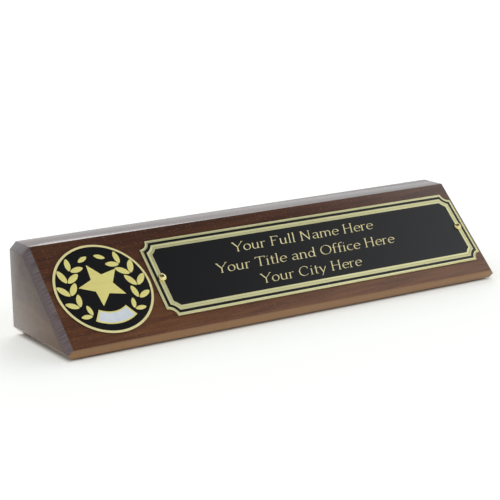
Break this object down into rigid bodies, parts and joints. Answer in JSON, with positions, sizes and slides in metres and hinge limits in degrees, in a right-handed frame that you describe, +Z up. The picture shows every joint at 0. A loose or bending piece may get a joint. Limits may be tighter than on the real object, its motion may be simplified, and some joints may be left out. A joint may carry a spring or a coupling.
{
  "type": "desk name block",
  "caption": "Wedge-shaped wooden desk name block with a slanted face that carries an engraved metal plate held by screws and a round award medallion.",
  "frame": {"origin": "on the table, under the middle of the block: centre of the bounding box in X and Y, lowest face in Z", "axes": "+X along the block towards its right end as read from the front, +Y from the slanted front to the upright back, +Z up"},
  "size_m": [0.2616, 0.0582, 0.0467],
  "materials": {
    "walnut": "dark walnut under satin lacquer",
    "felt": "dark pressed felt",
    "plate": "brass sheet, black lacquer field with bright border lines and engraving",
    "tape": "double-sided adhesive film",
    "screw_brass": "bright plated brass",
    "medallion": "printed metal disc, gold and black with pale enamel"
  },
  "bodies": {
    "root": {"wedge_block": "walnut", "base_felt": "felt", "name_plate": "plate", "plate_tape_upper": "tape", "plate_tape_lower": "tape", "screw_left": "screw_brass", "screw_right": "screw_brass", "medallion_disc": "medallion", "medallion_tape": "tape"}
  },
  "joints": []
}
